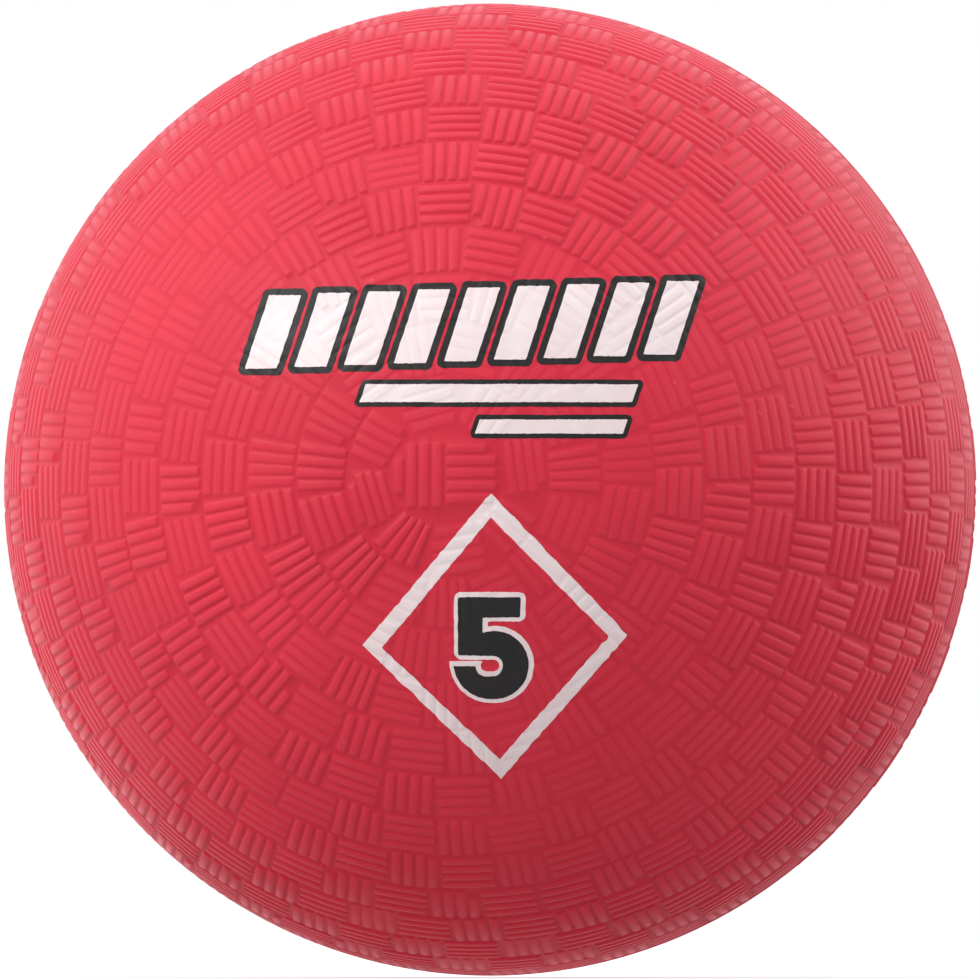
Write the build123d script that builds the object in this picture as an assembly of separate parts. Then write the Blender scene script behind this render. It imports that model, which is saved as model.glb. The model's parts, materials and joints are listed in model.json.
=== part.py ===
"""Playground rubber ball, nominal 5 inch (127 mm), with a moulded cover.

Frame: origin at the ball's centre, +Z up. The printed face looks along -Y (front) and
the inflation valve sits on +Y (back). Both poles of the mould lie on the Y axis, so the
two halves of each ply meet on the plane Y = 0.

From the outside in:
  ink films        printed on the outer ply
  cover            outer ply in two halves, modelled smooth over its rib crests
  inner ply        two halves that bed the winding
  winding          wound thread, given as one thin shell
  valve patch      ring that fills the window left in the winding
  bladder          one piece with a hole for the valve neck
  valve housing    boss whose flange lies inside the bladder
  valve core       soft self-sealing plug that fills the housing's pocket
"""
from build123d import *
import math
import os

os.makedirs("parts", exist_ok=True)

# ---------------------------------------------------------------- shell radii
BALL_DIA = 127.0
T_COVER = 1.2
T_INNER_PLY = 0.7
T_WINDING = 0.4
T_BLADDER = 0.8
T_INK = 0.05

# each is the outer radius of its layer
R_OUT = BALL_DIA / 2
R_INNER_PLY = R_OUT - T_COVER
R_WINDING = R_INNER_PLY - T_INNER_PLY
R_BLADDER = R_WINDING - T_WINDING
R_INSIDE = R_BLADDER - T_BLADDER         # air space

# ---------------------------------------------------------------- valve opening in the cover
COVER_HOLE_R = 2.6
COVER_HOLE_CHAMFER = 0.5
LAND_R = 6.1                             # plain land round the opening
LAND_DROP = 0.4                          # land below the rib crests
R_LAND = R_OUT - LAND_DROP
LIP_INNER_R = 3.6                        # ring standing on the land
LIP_OUTER_R = 4.8
LIP_H = 0.35
LIP_ROOT = 0.3                           # depth the ring is sunk into the land

# ---------------------------------------------------------------- valve housing
NECK_R = 5.0                             # through bladder, patch and inner ply
NECK_GAP = 0.02                          # neck's rim to the outer ply
NECK_ROOT = 1.2                          # neck's start, below the bladder's inside
PATCH_R = 12.0                           # window in the winding
PATCH_GAP = 0.1
FLANGE_R = 14.0
T_FLANGE = 0.9
STEM_R = 6.2                             # stem hangs into the air space
STEM_LEN = 11.0
STEM_CHAMFER = 1.0
STEM_FLARE = 2.2                         # growth in radius where the stem meets the flange
FLARE_H = 2.0

Y_TOP = math.sqrt(R_INNER_PLY**2 - NECK_R**2) - NECK_GAP
Y_FLANGE = R_INSIDE - T_FLANGE           # flange's inner face on the axis
Y_STEM = Y_FLANGE - STEM_LEN             # stem's free end

# ---------------------------------------------------------------- pocket and core
POCKET_R = 3.2
POCKET_MOUTH_R = 2.7
BULB_R = 4.1                             # the bulb locks the core under a shoulder
BULB_END_R = BULB_R - 0.6
Y_MOUTH = Y_TOP - 1.0                    # underside of the pocket's mouth ring
Y_SHOULDER = Y_STEM + 3.4

# (radius, y) of the wall that pocket and core share, from the stem's end outwards
POCKET_WALL = [
    (BULB_END_R, Y_STEM + 0.6),
    (BULB_R, Y_STEM + 1.2),
    (BULB_R, Y_SHOULDER - 0.7),
    (POCKET_R, Y_SHOULDER),
    (POCKET_R, Y_MOUTH),
    (POCKET_MOUTH_R, Y_MOUTH + 0.4),
]

CORE_STICKOUT = 0.8                      # core past the stem's free end
NEEDLE_R = 1.0                           # inflating needle's channel
Y_BLIND = Y_STEM + 1.6                   # blind end of the channel
FUNNEL_R = 1.7
FUNNEL_H = 1.2
SLIT_T = 0.08                            # self-sealing slit at the blind end
SLIT_W = 2.4
SLIT_OVERLAP = 0.4                       # slit's reach into the channel

# ---------------------------------------------------------------- print
# Outlines are (u, v) on a plane through the ball's centre, u to the right and v up.
# The print's axis leans right of and below -Y: x and z of its unit vector.
PRINT_X, PRINT_Z = 0.08745, -0.02672
PRINT_REACH = R_OUT + 5                  # prisms end clear of the ball

DIAMOND_OUTER = [(0.11, -0.5), (17.54, -18.54), (1.43, -36.93), (-16.22, -19.84)]
DIAMOND_INNER = [(0.11, -3.56), (15.13, -18.71), (1.26, -34.44), (-13.77, -20.13)]

# numeral, in its own frame; each block is (centre u, centre v, width, height)
NUMERAL_CENTRE = (0.17, -20.1)
TOP_BAR = (-0.175, 5.1, 7.75, 2.6)
STEM_BAR = (-2.675, 2.675, 3.15, 7.45)
BOWL_CENTRE, BOWL_R = (0.4, -2.25), 4.35
BOWL_LEFT_CUT = (-4.0, 0, 8.0, 20)
BOWL_JOIN = (-0.6, 0.55, 1.4, 3.4)       # part of the bowl kept beside the stem
TAIL_CENTRE, TAIL_R = (-0.1, -1.85), 4.75
TAIL_CORNER = (-2.9, -5.4, 6.0, 6.0)     # part of the tail circle kept, lower left
COUNTER_CENTRE = (-0.25, -2.4)
COUNTER_L, COUNTER_H = 3.5, 2.7
BOWL_GAP = (-3.0, -1.725, 6.2, 1.35)     # opens the bowl to the left
NUMERAL_CORNER_R = 0.3
NUMERAL_KEY = 0.58                       # width of the keyline
NUMERAL_KEY_SHIFT = (0.09, 0.07)         # keyline sits right of and above the numeral

DASH_COUNT = 9
DASH_W, DASH_H, DASH_SLANT = 4.1, 9.4, 3.1
DASH_PITCH = 6.35
DASH_CENTRE = (-2.3, 21.0)               # middle of the row
DASH_TILT = 0.035                        # the row climbs to the right
DASH_KEY = 0.85
# two bars below the dashes: centre u, centre v, width, height, slant
BARS = [
    (1.15, 12.25, 34.7, 2.3, 0.8),
    (7.8, 8.0, 18.8, 1.8, 0.6),
]
BAR_KEY = 0.6


# ---------------------------------------------------------------- helpers
def shell(r_in, r_out):
    return Sphere(r_out) - Sphere(r_in)


def half_shell(r_in, r_out, side):
    """Half a spherical shell about Y; side is -1 for the front, +1 for the back."""
    def on_arc(r, angle):
        return (r * math.sin(angle), side * r * math.cos(angle))

    with BuildPart() as part:
        with BuildSketch(Plane.XY):
            with BuildLine():
                ThreePointArc((0, side * r_out), on_arc(r_out, math.pi / 4), (r_out, 0))
                Line((r_out, 0), (r_in, 0))
                ThreePointArc((r_in, 0), on_arc(r_in, math.pi / 4), (0, side * r_in))
                Line((0, side * r_in), (0, side * r_out))
            make_face()
        revolve(axis=Axis.Y)
    return part.part


def revolve_y(points):
    """Solid of revolution about Y from (radius, y) points."""
    with BuildPart() as part:
        with BuildSketch(Plane.XY):
            with BuildLine():
                Polyline(*points, close=True)
            make_face()
        revolve(axis=Axis.Y)
    return part.part


def rod_y(radius, y_start, y_end):
    rod = Cylinder(radius, y_end - y_start)
    return Pos(0, (y_start + y_end) / 2, 0) * Rot(90, 0, 0) * rod


def pole_rod(radius):
    """Rod on +Y that runs right through every layer of the ball's wall."""
    return rod_y(radius, 50, 70)


def write(name, solids):
    shape = solids[0] if len(solids) == 1 else Compound(children=list(solids))
    export_step(shape, f"parts/{name}.step")


# ---------------------------------------------------------------- ball wall
def make_cover_back():
    land_cut = pole_rod(LAND_R) - Sphere(R_LAND)
    lip = (pole_rod(LIP_OUTER_R) - pole_rod(LIP_INNER_R)) & shell(
        R_LAND - LIP_ROOT, R_LAND + LIP_H
    )
    cover = half_shell(R_INNER_PLY, R_OUT, +1) - land_cut + lip
    cover = cover - pole_rod(COVER_HOLE_R)

    # the lead-in cone runs on past the face at the same 45 degrees
    y_face = math.sqrt(R_LAND**2 - COVER_HOLE_R**2)
    lead_in = revolve_y([
        (0, y_face - COVER_HOLE_CHAMFER),
        (COVER_HOLE_R, y_face - COVER_HOLE_CHAMFER),
        (COVER_HOLE_R + 2 * COVER_HOLE_CHAMFER, y_face + COVER_HOLE_CHAMFER),
        (0, y_face + COVER_HOLE_CHAMFER),
    ])
    return cover - lead_in


def make_inner_ply_back():
    return half_shell(R_WINDING, R_INNER_PLY, +1) - pole_rod(NECK_R)


def make_winding():
    return shell(R_BLADDER, R_WINDING) - pole_rod(PATCH_R)


def make_valve_patch():
    disc = shell(R_BLADDER, R_WINDING) & pole_rod(PATCH_R - PATCH_GAP)
    return disc - pole_rod(NECK_R)


def make_bladder():
    return shell(R_INSIDE, R_BLADDER) - pole_rod(NECK_R)


# ---------------------------------------------------------------- valve
def make_valve_housing():
    flange = shell(Y_FLANGE, R_INSIDE) & pole_rod(FLANGE_R)
    neck = rod_y(NECK_R, R_INSIDE - NECK_ROOT, Y_TOP)
    # the stem's root reaches a little into the flange so that they fuse
    stem = revolve_y([
        (0, Y_STEM),
        (STEM_R - STEM_CHAMFER, Y_STEM),
        (STEM_R, Y_STEM + STEM_CHAMFER),
        (STEM_R, Y_FLANGE - FLARE_H),
        (STEM_R + STEM_FLARE, Y_FLANGE + 0.1),
        (STEM_R + STEM_FLARE, Y_FLANGE + 0.2),
        (0, Y_FLANGE + 0.2),
    ])
    # the pocket is cut through both ends of the housing
    pocket = revolve_y([
        (0, Y_STEM - 1),
        (BULB_END_R, Y_STEM - 1),
        *POCKET_WALL,
        (POCKET_MOUTH_R, Y_TOP + 1),
        (0, Y_TOP + 1),
    ])
    return (flange + neck + stem) - pocket


def make_valve_core():
    body = revolve_y([
        (0, Y_STEM - CORE_STICKOUT),
        (BULB_END_R - CORE_STICKOUT, Y_STEM - CORE_STICKOUT),
        (BULB_END_R, Y_STEM),
        *POCKET_WALL,
        (POCKET_MOUTH_R, Y_TOP),
        (0, Y_TOP),
    ])
    funnel = revolve_y([
        (0, Y_TOP - FUNNEL_H),
        (NEEDLE_R, Y_TOP - FUNNEL_H),
        (FUNNEL_R, Y_TOP),
        (FUNNEL_R, Y_TOP + 0.5),
        (0, Y_TOP + 0.5),
    ])
    channel = rod_y(NEEDLE_R, Y_BLIND, Y_TOP + 1) + funnel

    slit_start = Y_STEM - 2              # clear of the core's inner end
    slit_end = Y_BLIND + SLIT_OVERLAP
    slit = Pos(0, (slit_start + slit_end) / 2, 0) * Box(
        SLIT_W, slit_end - slit_start, SLIT_T
    )
    return body - channel - slit


# ---------------------------------------------------------------- ink films
print_dir = Vector(PRINT_X, -math.sqrt(1 - PRINT_X**2 - PRINT_Z**2), PRINT_Z)
right_dir = Vector(0, 0, 1).cross(print_dir).normalized()
PRINT_PLANE = Plane(origin=(0, 0, 0), x_dir=right_dir, z_dir=print_dir)
INK_SHELL = shell(R_OUT, R_OUT + T_INK)


def prism(outline):
    """Flat outline extruded from the ball's centre out through its printed side."""
    return extrude(PRINT_PLANE * outline, amount=PRINT_REACH)


def film(outline):
    return prism(outline) & INK_SHELL


def keyline_film(outline, grown):
    """Film of the grown outline, less the outline itself."""
    return film(grown) - prism(outline)


def polygon(points):
    return make_face(Polyline(*points, close=True))


def block(u, v, width, height):
    return Pos(u, v) * Rectangle(width, height)


def slanted_bar(u, v, width, height, slant):
    """Parallelogram centred on (u, v); its top edge is shifted right by slant."""
    return polygon([
        (u - width / 2 - slant / 2, v - height / 2),
        (u + width / 2 - slant / 2, v - height / 2),
        (u + width / 2 + slant / 2, v + height / 2),
        (u - width / 2 + slant / 2, v + height / 2),
    ])


def numeral_outline():
    """Plain block 5: a bar, a stem and an open bowl."""
    disc = Pos(*BOWL_CENTRE) * Circle(BOWL_R)
    bowl = disc - block(*BOWL_LEFT_CUT)
    bowl += disc & block(*BOWL_JOIN)
    bowl += (Pos(*TAIL_CENTRE) * Circle(TAIL_R)) & block(*TAIL_CORNER)
    counter = Pos(*COUNTER_CENTRE) * SlotOverall(COUNTER_L, COUNTER_H)
    bowl = bowl - counter - block(*BOWL_GAP)
    outline = block(*TOP_BAR) + block(*STEM_BAR) + bowl
    # in and back out, to round the outward corners
    shrunk = offset(outline, amount=-NUMERAL_CORNER_R)
    outline = offset(shrunk, amount=NUMERAL_CORNER_R, kind=Kind.ARC)
    return Pos(*NUMERAL_CENTRE) * outline


def stripe_outlines():
    """(outline, keyline width) of each dash, left to right, then of the two bars."""
    row_u, row_v = DASH_CENTRE
    stripes = []
    for i in range(DASH_COUNT):
        along = (i - (DASH_COUNT - 1) / 2) * DASH_PITCH
        dash = slanted_bar(
            row_u + along, row_v + DASH_TILT * along, DASH_W, DASH_H, DASH_SLANT
        )
        stripes.append((dash, DASH_KEY))
    return stripes + [(slanted_bar(*bar), BAR_KEY) for bar in BARS]


def write_print():
    diamond = polygon(DIAMOND_OUTER) - polygon(DIAMOND_INNER)
    write("print_diamond", film(diamond).solids())

    numeral = numeral_outline()
    grown = offset(numeral, amount=NUMERAL_KEY, kind=Kind.ARC)
    grown = Pos(*NUMERAL_KEY_SHIFT) * grown
    write("print_numeral", film(numeral).solids())
    write("print_numeral_keyline", keyline_film(numeral, grown).solids())

    stripes = []
    keylines = []
    for outline, key_width in stripe_outlines():
        grown = offset(outline, amount=key_width, kind=Kind.ARC)
        stripes += film(outline).solids()
        keylines += keyline_film(outline, grown).solids()
    write("print_dashes", stripes)
    write("print_dashes_keyline", keylines)


# ---------------------------------------------------------------- output
write("cover_front", half_shell(R_INNER_PLY, R_OUT, -1).solids())
write("cover_back", make_cover_back().solids())
write("inner_ply_front", half_shell(R_WINDING, R_INNER_PLY, -1).solids())
write("inner_ply_back", make_inner_ply_back().solids())
write("winding", make_winding().solids())
write("valve_patch", make_valve_patch().solids())
write("bladder", make_bladder().solids())
write("valve_housing", make_valve_housing().solids())
write("valve_core", make_valve_core().solids())
write_print()
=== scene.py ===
"""A red rubber ball with moulded ribs, a printed front and a valve at the back.

The ball is centred on the origin and +Z is up. The outer ply is two halves that meet on
the XZ plane: the printed half on -Y, which faces the camera, and the valve half on +Y.
Thin films of ink lie on the ribs of the printed half. Shapes are worked out in
millimetres and become metres in to_object.
"""
import json
import math

import bpy
import numpy as np
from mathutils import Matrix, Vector
from mathutils.bvhtree import BVHTree
from mathutils.geometry import delaunay_2d_cdt

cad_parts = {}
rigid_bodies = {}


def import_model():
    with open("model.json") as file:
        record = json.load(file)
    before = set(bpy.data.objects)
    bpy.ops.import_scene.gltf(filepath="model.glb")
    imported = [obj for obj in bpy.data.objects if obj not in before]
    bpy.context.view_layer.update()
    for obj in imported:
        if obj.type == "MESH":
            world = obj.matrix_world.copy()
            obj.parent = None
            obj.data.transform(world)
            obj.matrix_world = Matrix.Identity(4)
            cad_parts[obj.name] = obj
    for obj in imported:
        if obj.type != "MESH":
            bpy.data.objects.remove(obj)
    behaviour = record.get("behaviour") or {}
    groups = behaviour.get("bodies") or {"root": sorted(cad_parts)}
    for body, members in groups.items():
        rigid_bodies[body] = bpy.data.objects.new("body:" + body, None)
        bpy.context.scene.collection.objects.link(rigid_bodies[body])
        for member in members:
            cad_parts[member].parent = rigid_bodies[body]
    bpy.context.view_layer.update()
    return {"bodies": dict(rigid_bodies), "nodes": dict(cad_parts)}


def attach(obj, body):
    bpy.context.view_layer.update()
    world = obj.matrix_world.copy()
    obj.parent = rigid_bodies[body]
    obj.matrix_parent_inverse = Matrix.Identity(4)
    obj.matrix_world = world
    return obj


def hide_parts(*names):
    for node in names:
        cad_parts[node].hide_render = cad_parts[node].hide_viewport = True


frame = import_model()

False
BODY = next(iter(frame["bodies"]))

# ------------------------------------------------------------------ sizes, mm
MM = 0.001                 # metres in a millimetre
R_CREST = 63.5             # over the rib crests
RELIEF = 0.40              # depth of the grooves
R_FLOOR = R_CREST - RELIEF
R_IN = 62.3                # inner surface of the outer ply
MM_PER_DEG = R_FLOOR * math.pi / 180    # along a meridian of the groove floor

# ribs
PITCH = 1.62               # rib to rib
RIB_COUNT = 4              # in a block
RIB_HALF = 0.70            # half width at the foot
RIB_MIN = 1.2              # shorter ribs are left out
RIB_COLS = (-RIB_HALF, -0.53, -0.31, 0.31, 0.53, RIB_HALF)     # across a rib
RIB_PROF = (0.0, 0.66, 1.0, 1.0, 0.66, 0.0)                    # height at each column
RIB_TALL = (0.0, 0.72, 1.0, 1.0, 1.0, 0.72, 0.0)      # height at each row along a rib
RIB_WIDE = (0.84, 0.96, 1.0, 1.0, 1.0, 0.96, 0.84)    # width at each row
SIDE_GAP, END_GAP = 0.13, 0.11      # clear floor between a rib and its block's edges
EDGE_GAP = 0.05                     # the least gap in the other direction

# block pattern
TRIM = 0.096               # R blocks are narrower than C blocks by twice this share
# ring boundaries, degrees from the mould's pole
THETA = (5.47, 11.72, 17.97, 24.23, 30.50, 36.78, 43.07, 49.38, 55.70, 62.04,
         68.39, 74.76, 81.16, 88.0)
# per ring: blocks, the first block's ribs (R along the meridian, C round the
# ring), blocks that repeat the kind before them, the R blocks' share of width,
# and the start angle's drift round the ring in even steps
RINGS = (
    (8, "R", (), 1.0, (9.5, 17.0, 12.8, 3.6)),
    (15, "C", (12,), 1.0, (0.4, 2.8, -1.9, -4.5)),
    (21, "R", (13,), 1.0, (6.8, 7.2, 9.8, 8.8)),
    (27, "C", (21,), 1.02, (3.1, 8.5, 4.8, -1.6, 0.2)),
    (32, "R", (12, 27), 1.02, (3.3, 0.3, 1.2, 1.6, 2.9, 4.3)),
    (36, "C", (7, 23), 1.02, (2.9, 3.9, 4.8, 2.5, 3.2, 3.6, 4.7)),
    (42, "R", (4, 15, 24, 34), 1.02, (3.2, 3.2, 1.8, 2.5, 3.1, 2.8, 1.9, 2.1)),
    (46, "C", (), 1.02, (3.0, 3.6, 2.7, 2.5, 3.2, 3.3, 2.1, 2.0, 0.1)),
    (49, "C", (23, 36), 1.02, (0.3, 0.5, -0.7, 3.1, 1.5, 2.3, 0.5, 0.9, -1.1)),
    (53, "R", (14,), 1.04, (4.3, 3.6, 4.9, 5.8, 5.5, 5.7, 5.3, 4.6, 3.8, 4.1)),
    (54, "C", (), 1.04, (4.0, 3.5, 4.0, 5.1, 2.3, 4.0, 3.7, 3.2, 0.7, 4.0)),
    (56, "C", (), 1.04, (0.7, 0.3, 1.7, 3.9, 4.8, 5.6, 4.8, 3.8, 2.8, 1.8)),
    (56, "R", (), 1.0, (3.4, 3.8, 3.6, 4.2, 5.2, 6.6, 5.3, 4.4, 3.3, 2.9)),
)
FADE_FROM = 10             # the first ring whose ribs fade towards the parting plane
FADE = {"R": (0.80, 0.55, 0.34), "C": (1.0, 0.86, 0.46)}
ARC_STEP_MAX = 2.4         # longest edge on a ring boundary
ARC_STEP_FACTOR = 0.14     # shortens the edges on small rings
JOINT_GAP = 0.06           # block corners closer than this share a vertex

# shallow zones of the printed half: x, y, radius x, radius y, depth lost
SHALLOW = (
    (0.6, -19.5, 13.0, 14.0, 0.78), (-2.0, 18.5, 29.0, 8.5, 0.74), (10.0, 2.0, 17.0, 15.0, 0.42),
    (-40.0, 30.0, 15.0, 18.0, 0.64), (-54.0, 6.0, 8.0, 16.0, 0.36), (22.0, -34.0, 17.0, 14.0, 0.40),
    (-26.0, -10.0, 15.0, 12.0, -0.34), (-45.0, -38.0, 12.0, 12.0, 0.24),
    (42.0, 28.0, 13.0, 16.0, 0.42), (0.0, 37.0, 22.0, 8.0, -0.22),
)
WORN_X, WORN_Y, WORN_RX, WORN_RY = -38, -25, 22, 24   # here R ribs gain height and C ribs lose it
WORN_R_GAIN, WORN_C_LOSS = 0.18, 0.45

# the printed half's pole cap: upright ribs on the left, level ribs on the right
CAP_COLUMNS = (-6.1, -4.45, -2.8, -1.15)
CAP_ROWS = (3.55, 1.95, 0.35, -1.25, -2.85)
CAP_UP, CAP_DOWN, CAP_RIGHT = 4.3, 4.0, 6.4     # furthest a rib may reach
CAP_COLUMN_MIN = 1.4
CAP_HEIGHT, CAP_BEND = 0.85, 0.02

# the valve half's pole: a raised collar round a hole, (radius, height over R_FLOOR)
HOLE_R = 2.6
COLLAR = ((5.2, 0.0), (4.95, 0.04), (4.75, 0.2), (4.5, 0.33), (4.2, 0.36), (3.9, 0.33),
          (3.65, 0.2), (3.45, 0.04), (3.25, 0.0), (3.12, -0.03), (2.95, -0.14), (2.7, -0.38),
          (HOLE_R, -0.52))
# plain land and half of the flash ridge: (degrees from the pole, height over R_FLOOR)
LAND = ((88.9, 0.0), (89.62, 0.0), (89.78, 0.11), (90.0, 0.14))
LAND_SEGMENTS, INNER_SEGMENTS, INNER_ROWS = 288, 96, 22

# camera: a long lens just above the floor; angles in degrees, distance in metres
CAM_AZ, CAM_EL, CAM_DIST = 5.0187, -1.5312, 2.2
CAM_MARGIN = 1.0034814663      # half the frame's width over the ball's apparent radius
CAM_SHIFT_Y = -0.00058163265   # share of the frame's width


def unit(v):
    v = np.asarray(v, float)
    return v / np.linalg.norm(v)


COS_AZ, SIN_AZ = math.cos(math.radians(CAM_AZ)), math.sin(math.radians(CAM_AZ))
COS_EL, SIN_EL = math.cos(math.radians(CAM_EL)), math.sin(math.radians(CAM_EL))
VIEW_BACK = np.array([SIN_AZ * COS_EL, -COS_AZ * COS_EL, SIN_EL])   # from the centre to the camera
VIEW_RIGHT = np.array([COS_AZ, SIN_AZ, 0.0])
VIEW_UP = np.cross(VIEW_BACK, VIEW_RIGHT)


# ------------------------------------------------------------------ helpers
def to_object(name, node, verts, faces, rib=None, sharp=None):
    """A smooth-shaded object in place of a CAD node. rib is a value per vertex and sharp
    a set of vertex pairs."""
    mesh = bpy.data.meshes.new(name)
    mesh.from_pydata([tuple(v) for v in np.asarray(verts) * MM], [], faces)
    mesh.validate()
    mesh.update()
    obj = bpy.data.objects.new(name, mesh)
    bpy.context.scene.collection.objects.link(obj)
    mesh.polygons.foreach_set("use_smooth", [True] * len(mesh.polygons))
    if rib is not None:
        heights = mesh.attributes.new("rib", "FLOAT", "POINT")
        heights.data.foreach_set("value", np.asarray(rib, np.float32))
    if sharp is not None:
        ends = np.zeros(len(mesh.edges) * 2, np.int64)
        mesh.edges.foreach_get("vertices", ends)
        flags = np.array([(a, b) in sharp or (b, a) in sharp for a, b in ends.reshape(-1, 2)], bool)
        creases = mesh.attributes.new("sharp_edge", "BOOLEAN", "EDGE")
        creases.data.foreach_set("value", flags)
    mesh.update()
    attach(obj, BODY)
    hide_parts(node)
    return obj


def triangles(verts, faces):
    """Splits quads along the shorter diagonal."""
    out = []
    for f in faces:
        if len(f) == 4:
            if np.linalg.norm(verts[f[1]] - verts[f[3]]) < np.linalg.norm(verts[f[0]] - verts[f[2]]):
                f = f[1:] + f[:1]
        for i in range(1, len(f) - 1):
            out.append((f[0], f[i], f[i + 1]))
    return out


def even_angles(count):
    return [360.0 * i / count for i in range(count)]


def wrap(angle):
    """The same angle between -180 and 180."""
    return (angle + 180) % 360 - 180


def clamp(value, low, high):
    return max(low, min(high, value))


def last_good(holds, good, bad, steps):
    """Bisects from a place where holds is true towards one where it may fail."""
    for _ in range(steps):
        middle = (good + bad) / 2
        if holds(middle):
            good = middle
        else:
            bad = middle
    return good


def reach(holds, limit):
    """How far from 0 towards limit holds stays true."""
    return limit if holds(limit) else last_good(holds, 0.0, limit, 11)


def longest_run(holds, limit, steps=20):
    """The ends of the longest run between -limit and limit where holds is true."""
    spots = [limit * (2 * q / steps - 1) for q in range(steps + 1)]
    good = [holds(spot) for spot in spots]
    runs = []
    for q in range(steps + 1):
        if good[q] and q and good[q - 1]:
            runs[-1][1] = q
        elif good[q]:
            runs.append([q, q])
    if not runs:
        return 0.0, 0.0
    first, last = max(runs, key=lambda run: run[1] - run[0])
    ends = []
    for inside, outside in ((first, first - 1), (last, last + 1)):
        end = spots[inside]
        if 0 <= outside <= steps:
            end = last_good(holds, end, spots[outside], 7)
        ends.append(end)
    return ends


def smooth_noise(rng, waves, scale):
    """A sum of random plane waves, as a function of direction."""
    vectors = rng.normal(size=(waves, 3)) * scale
    phases = rng.uniform(0, 2 * math.pi, waves)
    return lambda d: float(np.sin(vectors @ np.asarray(d) + phases).sum() / math.sqrt(waves))


# ------------------------------------------------------------------ cover halves
def ring_blocks(ring, turn):
    """Start angles and kinds of one ring's blocks; the first angle comes again, a turn on."""
    count, first, repeats, share, drift = ring
    kinds = [first]
    for i in range(1, count):
        before = kinds[-1]
        kinds.append(before if i in repeats else ("C" if before == "R" else "R"))
    share -= TRIM
    turn += (0.5 if first == "R" else -0.5) * TRIM * 360 / count
    widths = np.array([share if kind == "R" else 2 - share for kind in kinds])
    fractions = np.concatenate([[0], np.cumsum(widths)])[:-1] / widths.sum()
    n = len(drift)
    starts = []
    for x in fractions:
        j = int(x * n)
        f = x * n - j
        starts.append(360 * x + drift[j % n] * (1 - f) + drift[(j + 1) % n] * f + turn)
    starts.append(starts[0] + 360)
    return starts, kinds


def relief_at(d, side, kind):
    """Rib height as a share of RELIEF: the mould is shallower round the print."""
    if side > 0 or d @ VIEW_BACK < 0:
        return 1.0
    x, y = float(d @ VIEW_RIGHT) * R_CREST, float(d @ VIEW_UP) * R_CREST
    worn = math.exp(-0.5 * (((x - WORN_X) / WORN_RX) ** 2 + ((y - WORN_Y) / WORN_RY) ** 2))
    share = 1 + WORN_R_GAIN * worn if kind == "R" else 1 - WORN_C_LOSS * worn
    for zone_x, zone_y, radius_x, radius_y, depth in SHALLOW:
        q = ((x - zone_x) / radius_x) ** 2 + ((y - zone_y) / radius_y) ** 2
        share *= 1 - depth * math.exp(-0.5 * q * 0.9)
    return share


def mm_per_degree(theta):
    """Round the parallel at theta, on the groove floor."""
    return R_FLOOR * math.sin(math.radians(theta)) * math.pi / 180


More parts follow.
